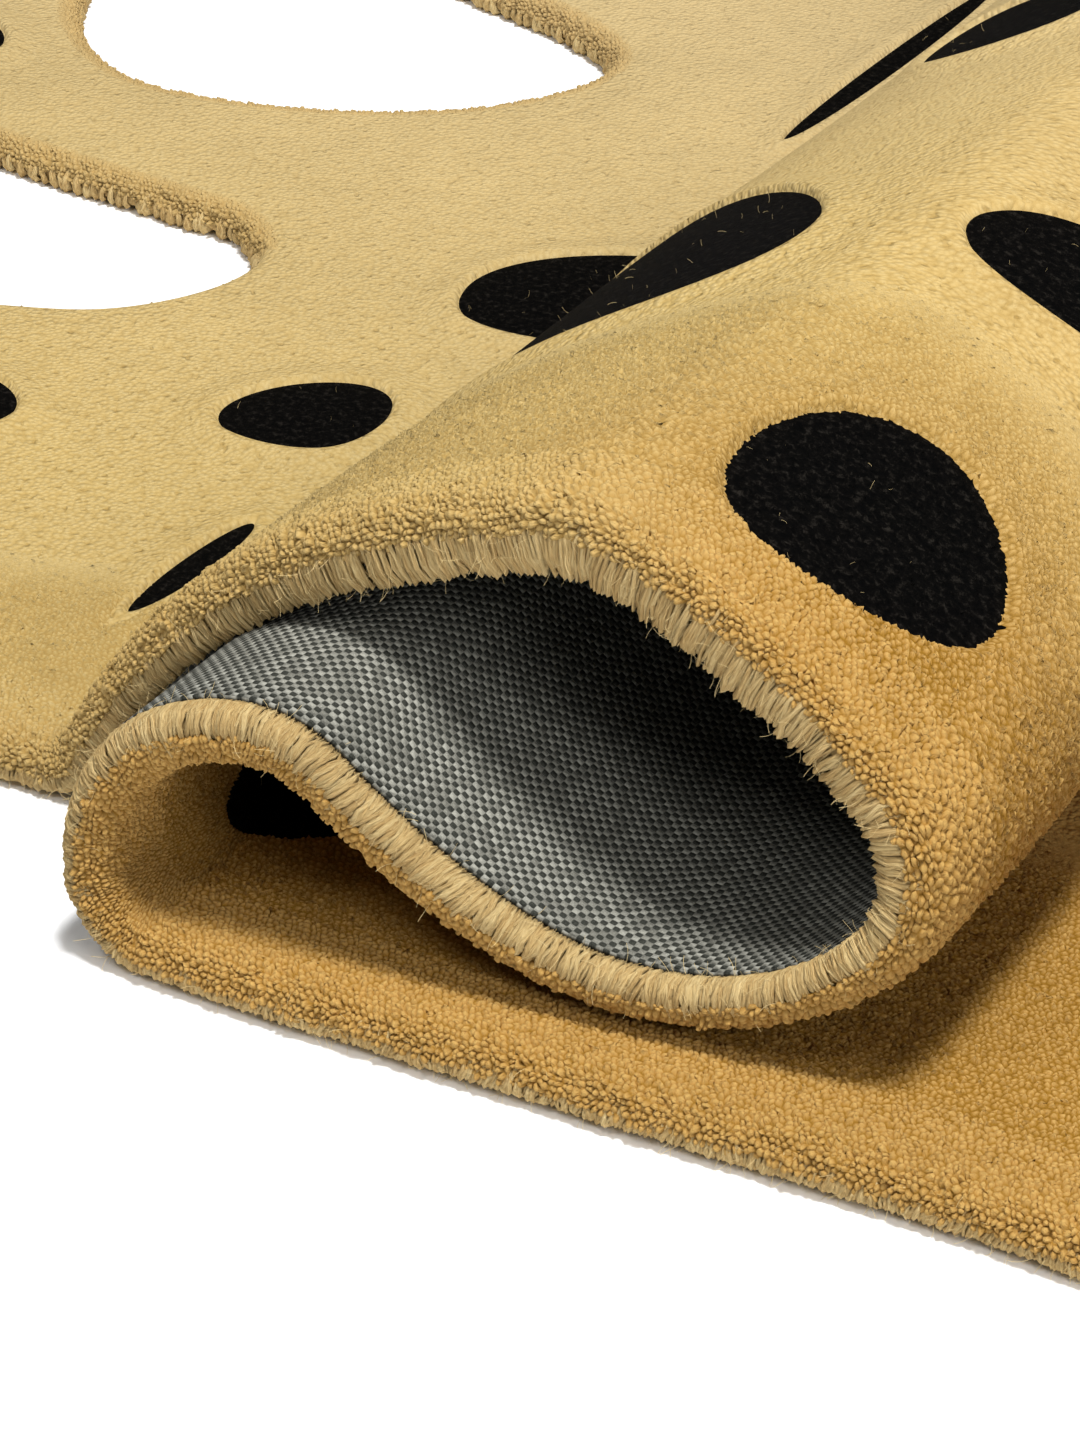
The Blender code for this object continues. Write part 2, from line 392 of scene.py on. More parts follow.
# How the pile stands at the near edge: how much thicker it swells there, and how far the
# outermost yarns hang below the canvas, or stay above the floor where it is negative
EDGE_SHAPE = (
    # place, u, swell, hang
    ("hip", -400, 0, -0.9),
    ("heel", 5, 0, -0.9),
    ("ramp", 40, 0, 0.5),
    ("ramp", 90, 0, 2.5),
    ("brow", 150, 0, 4.5),
    ("shoulder", 235, -0.3, 5.5),
    ("curl", 285, -1.5, 3.5),
    ("belly", 330, -1.5, 0.6),
    ("climb", 370, 1, 0),
    ("climb", 410, 3, 0),
    ("knee", 455, 3.5, 0),
    ("loop", 490, 2, 0),
    ("loop", 520, 0, -1.2),
    ("toe", 590, 0, -1.6),
    ("paws", 1400, 0, -1),
)
SWELL_REACH = 40.0

# Where tufts are modelled one by one: from the near edge in to this v, at each u
TUFTED_ZONE = (
    # place, u, v
    ("hip", -150, 110),
    ("heel", -20, 150),
    ("arch", 210, 190),
    ("shoulder", 275, 170),
    ("curl", 310, 110),
    ("belly", 350, 45),
    ("climb", 440, 45),
    ("loop", 500, 90),
    ("toe", 617, 120),
    ("bottom layer", 700, 150),
    ("chest", 860, 150),
)
ZONE_FADE = 35.0

# How far in from the cut edge tufts have shoulders as well as a crown
OPEN_REACH = 29.0

# Tufts spread apart this far in from the cut edge, and by this share where the pile bulges,
# wholly so where it bends round this radius
SPREAD_REACH = 30.0
BULGE_SPREAD = 0.45
BULGE_RADIUS = 22.0

# The notches between the legs and the tail, whose cut edges have single tufts too
NOTCH_BOX = (-330.0, -90.0, 320.0, 620.0)
NOTCH_REACH = 13.0
TUFT_PIECES = 5

# Round a spot the pile is carved: black sits a little lower, and a groove follows the rim
SPOT_SINK = 0.7
GROOVE_DEPTH = 0.9
GROOVE_WIDTH = 1.0
SINK_WIDTH = 1.5
COLLAR_RISE = 1.7
COLLAR_REACH = 15.0
COLLAR_FOOT = 0.5
COLLAR_CLIMB = 2.4


def column(table, place, along):
    """Values of a table's column along u."""
    return np.interp(along, [row[1] for row in table], [row[place] for row in table])


def swollen(flat, run):
    """Flat places u, v, w with the pile's height swollen near the near edge."""
    near = (flat[:, 1] < SPINE_V - SPINE_HALF) * (1.0 - smooth_step(run / SWELL_REACH))
    swell = column(EDGE_SHAPE, 2, flat[:, 0]) * near
    out = flat.copy()
    out[:, 2] *= 1.0 + swell / PILE_TOP
    return out


def zone_share(points, run):
    """Room left inside the tufted zone, and 1 well inside it, falling to 0 at its limits."""
    room = column(TUFTED_ZONE, 2, points[:, 0]) - points[:, 1]
    room = np.minimum(room, points[:, 0] - TUFTED_ZONE[0][1])
    room = np.minimum(room, TUFTED_ZONE[-1][1] - points[:, 0])
    left, right, near, far = NOTCH_BOX
    box_room = np.minimum(points[:, 0] - left, right - points[:, 0])
    box_room = np.minimum(box_room, np.minimum(points[:, 1] - near, far - points[:, 1]))
    notch_room = np.minimum(box_room, NOTCH_REACH - run)
    share = np.maximum(smooth_step(room / ZONE_FADE), smooth_step(notch_room / NOTCH_REACH * 1.6))
    return np.maximum(room, notch_room), share


def openness(u, run):
    """How far the tufts spread apart: at the cut edge and where the pile's side bulges."""
    bend = np.gradient(STATIONS[:, 3], STATIONS[:, 0])
    bulge = np.clip(-np.interp(u, STATIONS[:, 0], bend) * BULGE_RADIUS, 0.0, 1.0)
    return np.clip(smooth_step(1.0 - run / SPREAD_REACH) + BULGE_SPREAD * bulge, 0.0, 1.0)


def collar(distance):
    """Height of the tan pile that swells up round a spot, at distances from its rim."""
    swell = COLLAR_RISE * smooth_step(1.0 - (distance - 2.0) / COLLAR_REACH)
    return swell * smooth_step((distance - COLLAR_FOOT) / COLLAR_CLIMB)


def carving(distance):
    """Height of the carved pile at distances from a spot's rim."""
    sink = -SPOT_SINK * smooth_step((0.4 * SINK_WIDTH - distance) / SINK_WIDTH)
    return sink + collar(distance) - GROOVE_DEPTH * np.exp(-((distance / GROOVE_WIDTH) ** 2))


def clumps(points, rng, size):
    """Soft random swells of about this size, mostly between -1 and 1."""
    total = np.zeros(len(points))
    for _ in range(CLUMP_WAVES):
        way = rng.uniform(0.0, math.pi)
        turns = 2.0 * math.pi / (size * rng.uniform(0.7, 1.6))
        along = points[:, 0] * math.cos(way) + points[:, 1] * math.sin(way)
        total += np.sin(along * turns + rng.uniform(0.0, 6.28))
    return total / CLUMP_WAVES * CLUMP_HEIGHT


def add_attribute(piece, name, values):
    """A number for each point of a piece, for its material to read."""
    layer = piece.data.attributes.new(name, "FLOAT", "POINT")
    layer.data.foreach_set("value", values.astype(np.float32))


def standing(points):
    """How the pile stands over flat points.

    Gives where its surface is, the normal and the run in from the edge there, how fully the
    tufts are modelled, how far they spread, the distance from a spot, and the surface's swell.
    """
    flat, normal, run = rounded_edge(points)
    spread = openness(points[:, 0], run)
    spot = spot_distance(points)
    swell = (0.15 + 0.45 * spread) * clumps(points, np.random.default_rng(SEED + 1), CLUMP_SIZE)
    share = zone_share(points, run)[1]
    return swollen(flat, run), normal, run, share, spread, spot, swell + carving(spot)


def honeycomb(rng):
    """The tufts' flat places, the gap points between them, and each tuft's six gaps in turn."""
    low_u, high_u = NOTCH_BOX[0], TUFTED_ZONE[-1][1]
    low_v, high_v = LATTICE_START, NOTCH_BOX[3]
    row_step = TUFT_PITCH * math.sqrt(0.75)
    rows = int((high_v - low_v) / row_step) + 2
    across = int((high_u - low_u) / TUFT_PITCH) + rows // 2 + 2
    i, j = np.meshgrid(np.arange(across), np.arange(rows), indexing="ij")
    centres = np.stack(
        [low_u + TUFT_PITCH * (i - rows // 2 + 0.5 * j), low_v + row_step * j], axis=-1
    ).astype(float)
    centres += rng.normal(0.0, TUFT_JITTER * TUFT_PITCH, centres.shape)

    # Two gap points for each lattice place: the middles of the triangles right and above
    gap_a = (centres[:-1, :-1] + centres[1:, :-1] + centres[:-1, 1:]) / 3.0
    gap_b = (centres[1:, :-1] + centres[1:, 1:] + centres[:-1, 1:]) / 3.0
    i, j = np.meshgrid(np.arange(1, across - 2), np.arange(1, rows - 2), indexing="ij")
    i, j = i.ravel(), j.ravel()
    middle = centres[i, j]
    chosen = zone_share(middle, np.zeros(len(middle)))[0] > 0.0
    i, j, middle = i[chosen], j[chosen], middle[chosen]
    run = EDGE(middle)[0] + EDGE_ROLL
    chosen = (run > 0.0) & (zone_share(middle, run)[0] > 0.0)
    i, j, middle = i[chosen], j[chosen], middle[chosen]

    below, half = rows - 1, (across - 1) * (rows - 1)
    own = i * below + j
    around = np.stack(
        [own, own - below + half, own - below, own - below - 1 + half, own - 1, own - 1 + half],
        axis=1,
    )
    gaps = np.concatenate([gap_a.reshape(-1, 2), gap_b.reshape(-1, 2)])
    used, around = np.unique(around, return_inverse=True)
    return middle, gaps[used], around.reshape(-1, 6)


def tufts(materials):
    """The near part's pile, tuft by tuft.

    Tufts stand on a jittered honeycomb and share the gap points between them. Near the edge,
    where they spread, each has shoulders too.
    """
    rng = np.random.default_rng(SEED)
    middle, gaps, around = honeycomb(rng)
    gap_flat, gap_normal, _, gap_share, gap_open, _, swell = standing(gaps)
    pits = 1.0 + 1.2 * (rng.random(len(gaps)) < PIT_SHARE)
    depth = GAP_DEPTH * (0.6 + 0.45 * gap_open) * rng.uniform(0.2, 1.6, len(gaps)) * pits
    gap_height = gap_share * (swell - depth) - GAP_SUNK * (1.0 - gap_share)
    bottoms = gap_flat + gap_normal * gap_height[:, None]

    count = len(middle)
    top_flat, top_normal, top_run, share, spread, spot, swell = standing(middle)
    at_rim = smooth_step(1.0 - np.abs(spot) / RIM_REACH)
    rise = CROWN * (0.55 + 0.25 * spread) * rng.uniform(0.0, 1.9, count) * (1.0 - 0.8 * at_rim)
    crown_height = share * (rise + swell) - CROWN_SUNK * (1.0 - share)
    lean = rng.normal(0.0, TUFT_LEAN, (count, 2)) * TUFT_PITCH * (1.0 - 0.7 * at_rim[:, None])
    tone = rng.uniform(0.0, 1.0, count) * share
    black = (spot < 0.0).astype(int)
    crown = top_flat + top_normal * crown_height[:, None]
    crown[:, :2] += lean * 0.5

    order = np.argsort(middle[:, 0], kind="stable")
    weight = np.cumsum(np.where(top_run[order] < OPEN_REACH, 3.0, 1.0))
    limits = np.searchsorted(weight, weight[-1] * np.arange(1, TUFT_PIECES) / TUFT_PIECES)
    pieces = []
    for number, members in enumerate(np.split(order, limits)):
        opened = members[top_run[members] < OPEN_REACH]
        closed = members[top_run[members] >= OPEN_REACH]
        members = np.concatenate([opened, closed])
        n, m = len(members), len(opened)
        reach = rng.uniform(0.45, 0.75, (m, 6, 1))
        ring = middle[opened][:, None, :] * (1.0 - reach) + gaps[around[opened]] * reach
        ring = ring.reshape(-1, 2)
        ring_flat, ring_normal, ring_run = rounded_edge(ring)
        ring_height = np.repeat(crown_height[opened] - 0.25 * rise[opened], 6)
        ring_height += rng.normal(0.0, 0.08, m * 6)
        ring_flat = swollen(ring_flat, ring_run) + ring_normal * ring_height[:, None]
        ring_flat[:, :2] += np.repeat(lean[opened], 6, axis=0) * 0.6

        local_used, local = np.unique(around[members], return_inverse=True)
        local = local.reshape(-1, 6) + n + 6 * m
        flat = np.concatenate([crown[members], ring_flat, bottoms[local_used]])
        first = n + 6 * np.arange(m)[:, None] + np.arange(6)
        following = n + 6 * np.arange(m)[:, None] + (np.arange(6) + 1) % 6
        onward = np.roll(local, -1, axis=1)
        caps = np.stack([np.repeat(np.arange(m)[:, None], 6, axis=1), first, following], axis=2)
        sides = np.stack([first, local[:m], onward[:m], following], axis=2)
        heads = np.repeat(np.arange(m, n)[:, None], 6, axis=1)
        cones = np.stack([heads, local[m:], onward[m:]], axis=2)
        faces = caps.reshape(-1, 3).tolist() + sides.reshape(-1, 4).tolist()
        faces += cones.reshape(-1, 3).tolist()
        marks = np.concatenate([np.repeat(black[opened], 6)] * 2 + [np.repeat(black[closed], 6)])
        uv = np.concatenate([middle[members], ring, gaps[local_used]])
        piece = new_piece("tufts_%d" % (number + 1), fold(flat), faces, materials, marks, uv * MM)
        gap_tone = np.zeros(len(local_used))
        np.maximum.at(gap_tone, (local - n - 6 * m).ravel(), np.repeat(tone[members], 6))
        # The gap attribute is painted shade: 0 on crowns, 0.3 on shoulders, up to 1 down in the
        # gaps
        for name, values in (
            ("gap", (np.zeros(n), np.full(6 * m, 0.3), 0.25 + 0.75 * gap_share[local_used])),
            ("tone", (tone[members], np.repeat(tone[opened], 6), gap_tone)),
            ("spread", (spread[members], np.repeat(spread[opened], 6), gap_open[local_used])),
        ):
            add_attribute(piece, name, np.concatenate(values))
        pieces.append(piece)
    return pieces


def spaced(start, end, step):
    """Evenly spaced values from start to end, ends left out."""
    count = max(1, math.ceil((end - start) / step))
    return [start + (end - start) * k / count for k in range(1, count)]


def cut_flat(curve):
    """Points, faces and rim of a flat cut, with lines across the fold and along it."""
    flat = bmesh.new()
    flat.faces.new([flat.verts.new((p[0], p[1], 0.0)) for p in curve])
    lines_u = list(STATIONS[:, 0])
    lines_u += spaced(curve[:, 0].min(), 0.0, FLAT_STEP)
    lines_u += spaced(STATIONS[-1, 0], curve[:, 0].max(), FLAT_STEP)
    lines_v = spaced(curve[:, 1].min(), curve[:, 1].max(), LONG_STEP)
    cuts = [((u, 0.0, 0.0), (1.0, 0.0, 0.0)) for u in lines_u]
    cuts += [((0.0, v, 0.0), (0.0, 1.0, 0.0)) for v in lines_v]
    for place, normal in cuts:
        geom = flat.verts[:] + flat.edges[:] + flat.faces[:]
        bmesh.ops.bisect_plane(flat, geom=geom, dist=0.05, plane_co=place, plane_no=normal)
    flat.normal_update()
    flat.verts.index_update()
    points = np.array([p.co[:2] for p in flat.verts])
    faces = []
    for face in flat.faces:
        corners = [p.index for p in face.verts]
        faces.append(corners if face.normal.z > 0.0 else corners[::-1])
    sides = {(a, b) for corners in faces for a, b in zip(corners, corners[1:] + corners[:1])}
    onward = {a: b for a, b in sides if (b, a) not in sides}
    rim = [min(onward)]
    while onward[rim[-1]] != rim[0]:
        rim.append(onward[rim[-1]])
    flat.free()
    return points, faces, np.array(rim)


def layered_sheet(name, curve, profile, materials, combed_from=None):
    """A closed sheet: a flat cut on top and below, joined round the edge by a profile.

    The profile's rows are how far in from the rug's outline and how high, from the top's rim
    outwards and down to the bottom's rim. Faces from row combed_from on take the second
    material.
    """
    points, faces, rim = cut_flat(curve)
    count = len(points)
    _, foot, inward = EDGE(points[rim])
    top = np.column_stack([points, np.full(count, profile[0][1])])
    bottom = np.column_stack([points, np.full(count, profile[-1][1])])
    flat = [top, bottom]
    rings = [rim]
    for inset, height in profile[1:-1]:
        ring = np.column_stack([foot + inward * inset, np.full(len(rim), height)])
        rings.append(np.arange(len(rim)) + sum(len(part) for part in flat))
        flat.append(ring)
    rings.append(rim + count)
    all_faces = [list(f) for f in faces] + [[c + count for c in reversed(f)] for f in faces]
    marks = [0] * (2 * len(faces))
    for row, (upper, lower) in enumerate(zip(rings, rings[1:])):
        for a, b, c, d in zip(upper, lower, np.roll(lower, -1), np.roll(upper, -1)):
            all_faces.append([int(a), int(b), int(c), int(d)])
            marks.append(0 if combed_from is None or row < combed_from else 1)
    flat = np.concatenate(flat)
    run = EDGE(flat[:, :2])[0]
    return new_piece(name, fold(swollen(flat, run)), all_faces, materials, marks, flat[:, :2] * MM)


# Distance between the rings of a spot's cap, the collar's rings outside the rim, and the
# points of each
CAP_STEP = 5.0
COLLAR_RINGS = (-1.2, 0.0, 0.6, 1.4, 2.5, 4.5, 8.0, 12.0, 18.5)
SPOT_SECTORS = 72

# How high the cap lies over the ground pile, inside and at its rim, and how deep a collar's
# inner ring is buried
CAP_HEIGHT = 0.3
CAP_RIM_HEIGHT = 0.2
COLLAR_BURIED = 0.8


def spot_rim(spot, share, outside):
    """Points at a share of the way out to a spot's rim, plus a distance outside it."""
    _, u, v, half_length, half_width, turn, widening, roundness = spot
    angle = 2.0 * math.pi * np.arange(SPOT_SECTORS) / SPOT_SECTORS
    along = np.sign(np.cos(angle)) * np.abs(np.cos(angle)) ** (2.0 / roundness)
    across = np.sign(np.sin(angle)) * np.abs(np.sin(angle)) ** (2.0 / roundness)
    a = along * share * (half_length + outside)
    b = across * share * (half_width + outside) * (1.0 + widening * along * share)
    c, s = math.cos(math.radians(turn)), math.sin(math.radians(turn))
    return np.column_stack([u + a * c - b * s, v + a * s + b * c])


def ringed_patches(name, material, closed_middle):
    """Caps over the spots, or collars round them, laid on the ground pile."""
    flat, faces = [], []
    for spot in SPOTS:
        first = sum(len(part) for part in flat)
        if closed_middle:
            flat.append(np.array([[spot[1], spot[2], BODY_TOP + CAP_HEIGHT]]))
            rings = max(3, round(max(spot[3], spot[4]) / CAP_STEP))
            rows = [(k / rings, 0.0, BODY_TOP + CAP_HEIGHT) for k in range(1, rings)]
            rows.append((1.0, 1.0, BODY_TOP + CAP_RIM_HEIGHT))
        else:
            rows = [(1.0, d, BODY_TOP + collar(d) * 1.25 - 0.25) for d in COLLAR_RINGS]
            rows[0] = (1.0, COLLAR_RINGS[0], BODY_TOP - COLLAR_BURIED)
        for ring, (share, outside, height) in enumerate(rows):
            rim = spot_rim(spot, share, outside)
            flat.append(np.column_stack([rim, np.full(SPOT_SECTORS, height)]))
            start = first + closed_middle + ring * SPOT_SECTORS
            for k in range(SPOT_SECTORS):
                k_next = (k + 1) % SPOT_SECTORS
                if ring > 0:
                    inner = start - SPOT_SECTORS
                    faces.append([inner + k, start + k, start + k_next, inner + k_next])
                elif closed_middle:
                    faces.append([first, start + k, start + k_next])
    flat = np.concatenate(flat)
    return new_piece(name, fold(flat), faces, [material], None, flat[:, :2] * MM)


# The outermost yarns, seen from the side: how far in from the outline and how high they run,
# and how much of the hang each point takes
YARN_COURSE = (
    # inset, height, share of the hang
    (6.6, 0.95, 0.0),
    (4.2, 0.45, 0.5),
    (1.9, 0.95, 1.0),
    (0.6, 2.9, 0.6),
    (0.4, 5.2, 0.0),
    (1.6, 7.8, 0.0),
)

# The distance between yarns, their thickness, the length of each step of their course, its
# middle's height, and how far they stay over the floor
YARN_PITCH = 0.52
FAR_YARN_PITCH = 3.5
YARN_RADIUS = 0.62
YARN_STEP = 2.2
YARN_MIDDLE = 4.0
YARN_JITTER = 0.2
YARN_SIDES = 4
YARN_ANGLES = 2.0 * math.pi * np.arange(YARN_SIDES) / YARN_SIDES
YARN_CLEARANCE = 0.15

# Neighbouring yarns sway together, and lock together in narrower bunches, this far along
SWAY_SIZE = 22.0
LOCK_SIZE = 6.0

# How far yarns lean along the edge, stand off from it and reach up: for all, with the sway,
# with the lock, and from one yarn to the next
YARN_LEAN = (2.0, 2.2, 0.9, 0.45)
YARN_LOOSENESS = (0.1, 0.0, 0.25, 0.30)
YARN_REACH = (0.0, 0.5, 0.0, 0.6)

# The near edge's yarns stand close together; they run between these u, below this v
NEAR_YARNS_U = (-260.0, 900.0)
NEAR_YARNS_V = 120.0


def tubes(points, girth, sideways):
    """Rings round each yarn's course, and its faces; sideways is across every course."""
    count, rows = girth.shape
    course = np.gradient(points, axis=1)
    course /= np.linalg.norm(course, axis=2)[:, :, None]
    across = np.repeat(sideways[:, None, :], rows, axis=1)
    across -= course * (course * across).sum(2)[:, :, None]
    across /= np.linalg.norm(across, axis=2)[:, :, None]
    outward = np.cross(across, course)
    away = across[:, :, None] * np.sin(YARN_ANGLES)[:, None]
    away -= outward[:, :, None] * np.cos(YARN_ANGLES)[:, None]
    rings = points[:, :, None] + girth[:, :, None, None] * away
    number = np.arange(count * rows * YARN_SIDES).reshape(count, rows, YARN_SIDES)
    onward = np.roll(number, -1, axis=2)
    corners = [number[:, :-1], onward[:, :-1], onward[:, 1:], number[:, 1:]]
    faces = np.stack(corners, axis=3).reshape(-1, 4).tolist()
    return rings, faces + number[:, 0, ::-1].tolist() + number[:, -1].tolist()


def edge_yarns(name, material, near, pitch, seed):
    """Yarns side by side along the cut edge, each a short leaning tube."""
    rng = np.random.default_rng(seed)
    steps = np.roll(OUTLINE, -1, axis=0) - OUTLINE
    lengths = np.linalg.norm(steps, axis=1)
    travelled = np.concatenate([[0.0], np.cumsum(lengths)])
    loop = np.concatenate([OUTLINE, OUTLINE[:1]])
    places = np.arange(0.0, travelled[-1], pitch)
    places += rng.normal(0.0, YARN_JITTER * pitch, len(places))
    places = np.mod(places, travelled[-1])
    feet = np.stack([np.interp(places, travelled, loop[:, k]) for k in range(2)], axis=1)
    inside = (feet[:, 0] > NEAR_YARNS_U[0]) & (feet[:, 0] < NEAR_YARNS_U[1])
    inside &= feet[:, 1] < NEAR_YARNS_V
    keep = inside if near else ~inside
    feet, places = feet[keep], places[keep]
    _, feet, inward = EDGE(feet)
    onward = np.stack([inward[:, 1], -inward[:, 0]], axis=1)
    count, rows = len(feet), len(YARN_COURSE)
    line = np.column_stack([places, 0.0 * places])
    sway = clumps(line, rng, SWAY_SIZE)
    lock = clumps(line, rng, LOCK_SIZE)

    def varied(always, with_sway, with_lock, spread):
        return always + with_sway * sway + with_lock * lock + rng.normal(0.0, spread, count)

    lean = varied(*YARN_LEAN)
    radius = YARN_RADIUS * (pitch / YARN_PITCH) ** 0.5 * rng.uniform(0.55, 1.3, count)
    loose = varied(*YARN_LOOSENESS)
    reach = varied(*YARN_REACH)
    edge_hang = column(EDGE_SHAPE, 3, feet[:, 0])
    hang = edge_hang * (1.0 + 0.15 * lock) * rng.uniform(0.75, 1.2, count)
    on_near_side = feet[:, 1] < SPINE_V - SPINE_HALF
    hang = np.where(on_near_side, hang, np.minimum(hang, 0.0))
    hang = np.where(feet[:, 1] > SPINE_V + SPINE_HALF, edge_hang, hang)
    swell = 1.0 + column(EDGE_SHAPE, 2, feet[:, 0]) / PILE_TOP * on_near_side
    points, girth = [], []
    for row, (inset, height, share) in enumerate(YARN_COURSE):
        t = row / (rows - 1)
        shift = lean * (t - 0.4) + rng.normal(0.0, 0.3, count)
        out = inset - loose * math.sin(math.pi * t)
        place = feet + inward * out[:, None] + onward * shift[:, None]
        w = (height - share * hang + reach * t * t) * swell
        points.append(np.column_stack([place, w]))
        girth.append(radius * (0.65 + 0.5 * math.sin(math.pi * min(1.0, t * 1.1))))
    points = np.stack(points, axis=1)
    girth = np.stack(girth, axis=1)
    rings, faces = tubes(points, girth, np.column_stack([onward, np.zeros(count)]))
    around = YARN_ANGLES * YARN_RADIUS * MM
    along = np.arange(rows)[:, None] * YARN_STEP * MM + rng.uniform(0.0, 1.0, (count, 1, 1))
    uv = np.stack(np.broadcast_arrays(around, along), axis=-1).reshape(-1, 2)
    folded = fold(rings.reshape(-1, 3))
    folded[:, 2] = np.maximum(folded[:, 2], YARN_CLEARANCE * MM)
    piece = new_piece(name, folded, faces, [material], None, uv)
    add_attribute(piece, "tone", np.repeat(rng.uniform(0.0, 1.0, count), rows * YARN_SIDES))
    slope = np.array([(height - YARN_MIDDLE) / 6.0 for _, height, _ in YARN_COURSE])
    facing = np.repeat(np.column_stack([-inward, np.zeros(count)])[:, None, :], rows, axis=1)
    facing[:, :, 2] = slope
    facing = fold((points + facing).reshape(-1, 3)) - fold(points.reshape(-1, 3))
    layer = piece.data.attributes.new("facing", "FLOAT_VECTOR", "POINT")
    layer.data.foreach_set("vector", np.repeat(facing / MM, YARN_SIDES, axis=0).ravel())
    return piece


def face_outwards(piece):
    """Turn the faces of closed tubes outwards."""
    closed = bmesh.new()
    closed.from_mesh(piece.data)
    bmesh.ops.recalc_face_normals(closed, faces=closed.faces)
    closed.to_mesh(piece.data)
    closed.free()


def linear(code):
    """Linear colour of an sRGB hex code."""
    levels = [int(code[i:i + 2], 16) / 255.0 for i in (1, 3, 5)]
    return [c / 12.92 if c <= 0.04045 else ((c + 0.055) / 1.055) ** 2.4 for c in levels] + [1.0]


def wire(taker, *values, **named):
    """Set a node's inputs, in order or by name, to values or to other nodes' outputs."""
    free = [socket for socket in taker.inputs if socket.enabled]
    called = {socket.name.replace(" ", "_"): socket for socket in reversed(free)}
    pairs = list(zip(free, values)) + [(called[name], value) for name, value in named.items()]
    for socket, value in pairs:
        if isinstance(value, bpy.types.NodeSocket):
            taker.id_data.links.new(value, socket)
        else:
            socket.default_value = value


def node(tree, kind, *values, give=None, stops=(), **named):
    """Add a node and give one of its outputs, the first if none is named.

    Named values that start with a capital are inputs, and the others are settings. Stops are
    a colour ramp's positions and hex codes.
    """
    new = tree.nodes.new(kind)
    for name in [name for name in named if name[0].islower()]:
        setattr(new, name, named.pop(name))
    if stops:
        colours = new.color_ramp.elements
        while len(colours) < len(stops):
            colours.new(0.5)
        for colour, (position, code) in zip(colours, stops):
            colour.position, colour.color = position, linear(code)
    wire(new, *values, **named)
    return new.outputs[give] if give else next(out for out in new.outputs if out.enabled)


MATH = "ShaderNodeMath"
NOISE = "ShaderNodeTexNoise"
RANGE = "ShaderNodeMapRange"
RAMP = "ShaderNodeValToRGB"
MIX = "ShaderNodeMix"
SPLIT = "ShaderNodeSeparateXYZ"
BUMP = "ShaderNodeBump"
VECTORS = "ShaderNodeVectorMath"
CARRIED = "ShaderNodeAttribute"
FLAT_PLACE = "ShaderNodeUVMap"

# Colours, darker than they look, because the studio is brightly lit. Each row of stops goes
# from the fibre ends down into the pile, or from the dimmest fibres to the brightest. Down into
# the pile the stops darken as painted shade in the gaps between tufts. Where the pile leans away
# the eye meets the fibre ends, which are pale; where it leans closer, or opens, the eye looks
# into it, and painted shade shows as gold
TAN_PILE = ((0.0, "#bca672"), (0.35, "#b0975f"), (1.0, "#9a7c41"))
SHADED_GOLDEN_PILE = ((0.0, "#b69355"), (0.35, "#a37e44"), (0.68, "#85601f"), (1.0, "#553206"))
FAR_PAINTED_LIGHT_PILE = "#c6b188"
LONG_SIDES = ((0.28, "#a48452"), (0.50, "#c4a771"), (0.72, "#d4bd89"))
STRAY_FIBRES = "#d4bd89"
BLACK_PILE = ((0.42, "#010101"), (0.54, "#060504"), (0.68, "#24211d"))
PALE_THREADS = ((0.40, "#64635b"), (0.75, "#807f76"), (1.0, "#96958b"))
DARK_THREADS = ((0.3, "#242521"), (0.7, "#3f403a"))
FLOOR = "#f9f9f9"
SKY = "#ffffff"

# How golden or pale the pile looks, golden as painted shade where the eye looks down into the
# pile, paler as painted light on the far part: from and to, in metres along or across the flat
# rug, and the share at each
GOLD_ALONG_ARCH = (0.150, 0.245, 0.12, 1.0)
GOLD_BY_NEAR_EDGE = (0.060, 0.175, 1.0, 0.30)
GOLD_ON_LOWER_LAYERS = (0.300, 0.340, 0.0, 1.0)
FAR_PAINTED_LIGHT_SHARE = (0.18, 0.55, 0.0, 0.5)


def cloudy(size, detail=2.0, roughness=0.6):
    """Settings of a noise with clouds of this size in millimetres."""
    return {"Scale": 1000.0 / size, "Detail": detail, "Roughness": roughness}


BROAD_PATCHES = cloudy(70.0, 3.0)
NARROW_PATCHES = cloudy(11.0, 3.0)
FIBRE_ENDS = cloudy(0.5)
FIBRE_CLUMPS = cloudy(1.1, 3.0)
# Clouds of painted shade in pits between the tufts
SHADED_PITS = cloudy(3.0, 1.0)
BLACK_CLUMPS = cloudy(2.1, 5.0, 0.75)
COMBED_FIBRES = cloudy(0.9, 3.0)
CANVAS_RIPPLES = cloudy(14.0)
THREAD_GRAIN = cloudy(0.38)

# The canvas's threads, in millimetres from one to the next
THREAD_U = 1.6
THREAD_V = 1.55

MATT_SPECULAR = 0.1
BLACK_SPECULAR = 0.05


def matt_material(name):
    """A material with a matt surface, its tree and its surface node."""
    material = bpy.data.materials.new(name)
    material.use_nodes = True
    tree = material.node_tree
    surface = tree.nodes["Principled BSDF"]
    wire(surface, Roughness=1.0, Specular_IOR_Level=MATT_SPECULAR)
    return material, tree, surface


def weighted(tree, start, *parts):
    """A start plus each part's value times its weight."""
    for value, weight in parts:
        start = node(tree, MATH, value, weight, start, operation="MULTIPLY_ADD")
    return start


def brushed_light_and_shade(tree, place):
    """Slow changes of brightness, painted light and shade of pile brushed one way or another."""
    broad = node(tree, NOISE, place, **BROAD_PATCHES)
    narrow = node(tree, NOISE, place, **NARROW_PATCHES)
    return weighted(tree, 0.80, (broad, 0.22), (narrow, 0.18))


